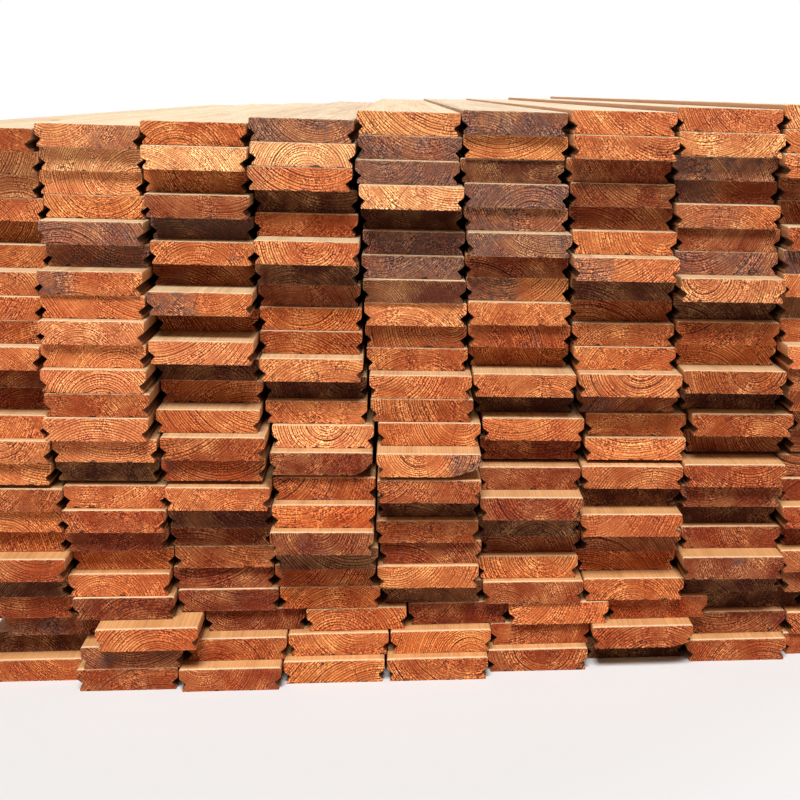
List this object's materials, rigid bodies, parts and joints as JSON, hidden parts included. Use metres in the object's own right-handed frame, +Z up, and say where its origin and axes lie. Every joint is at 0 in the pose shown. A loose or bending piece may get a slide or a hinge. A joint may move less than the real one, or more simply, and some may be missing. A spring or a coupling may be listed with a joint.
{
  "type": "stack of lumber",
  "caption": "Stack of planed softwood boards with V-notched edges, laid in level layers in side-by-side columns, their sawn ends standing out unevenly.",
  "frame": {"origin": "middle of the stack's footprint, on the floor it rests on", "axes": "+Z up, the boards lie along Y, the pictured sawn ends face -Y, +X to the right of someone looking at those ends"},
  "size_m": [1.1424, 3.125, 0.6709],
  "materials": {
    "board": "planed softwood with sawn end grain, weathered in places",
    "packing": "rough sawn thin softwood"
  },
  "bodies": {
    "root": {"layer_01": "board", "layer_02": "board", "layer_03": "board", "layer_04": "board", "layer_05": "board", "layer_06": "board", "layer_07": "board", "layer_08": "board", "layer_09": "board", "layer_10": "board", "layer_11": "board", "layer_12": "board", "layer_13": "board", "layer_14": "board", "layer_15": "board", "layer_16": "board", "layer_17": "board", "layer_18": "board", "layer_19": "board", "layer_20": "board", "layer_21": "board", "layer_22": "board", "layer_23": "board", "layer_24": "board", "spacers": "packing"}
  },
  "joints": []
}
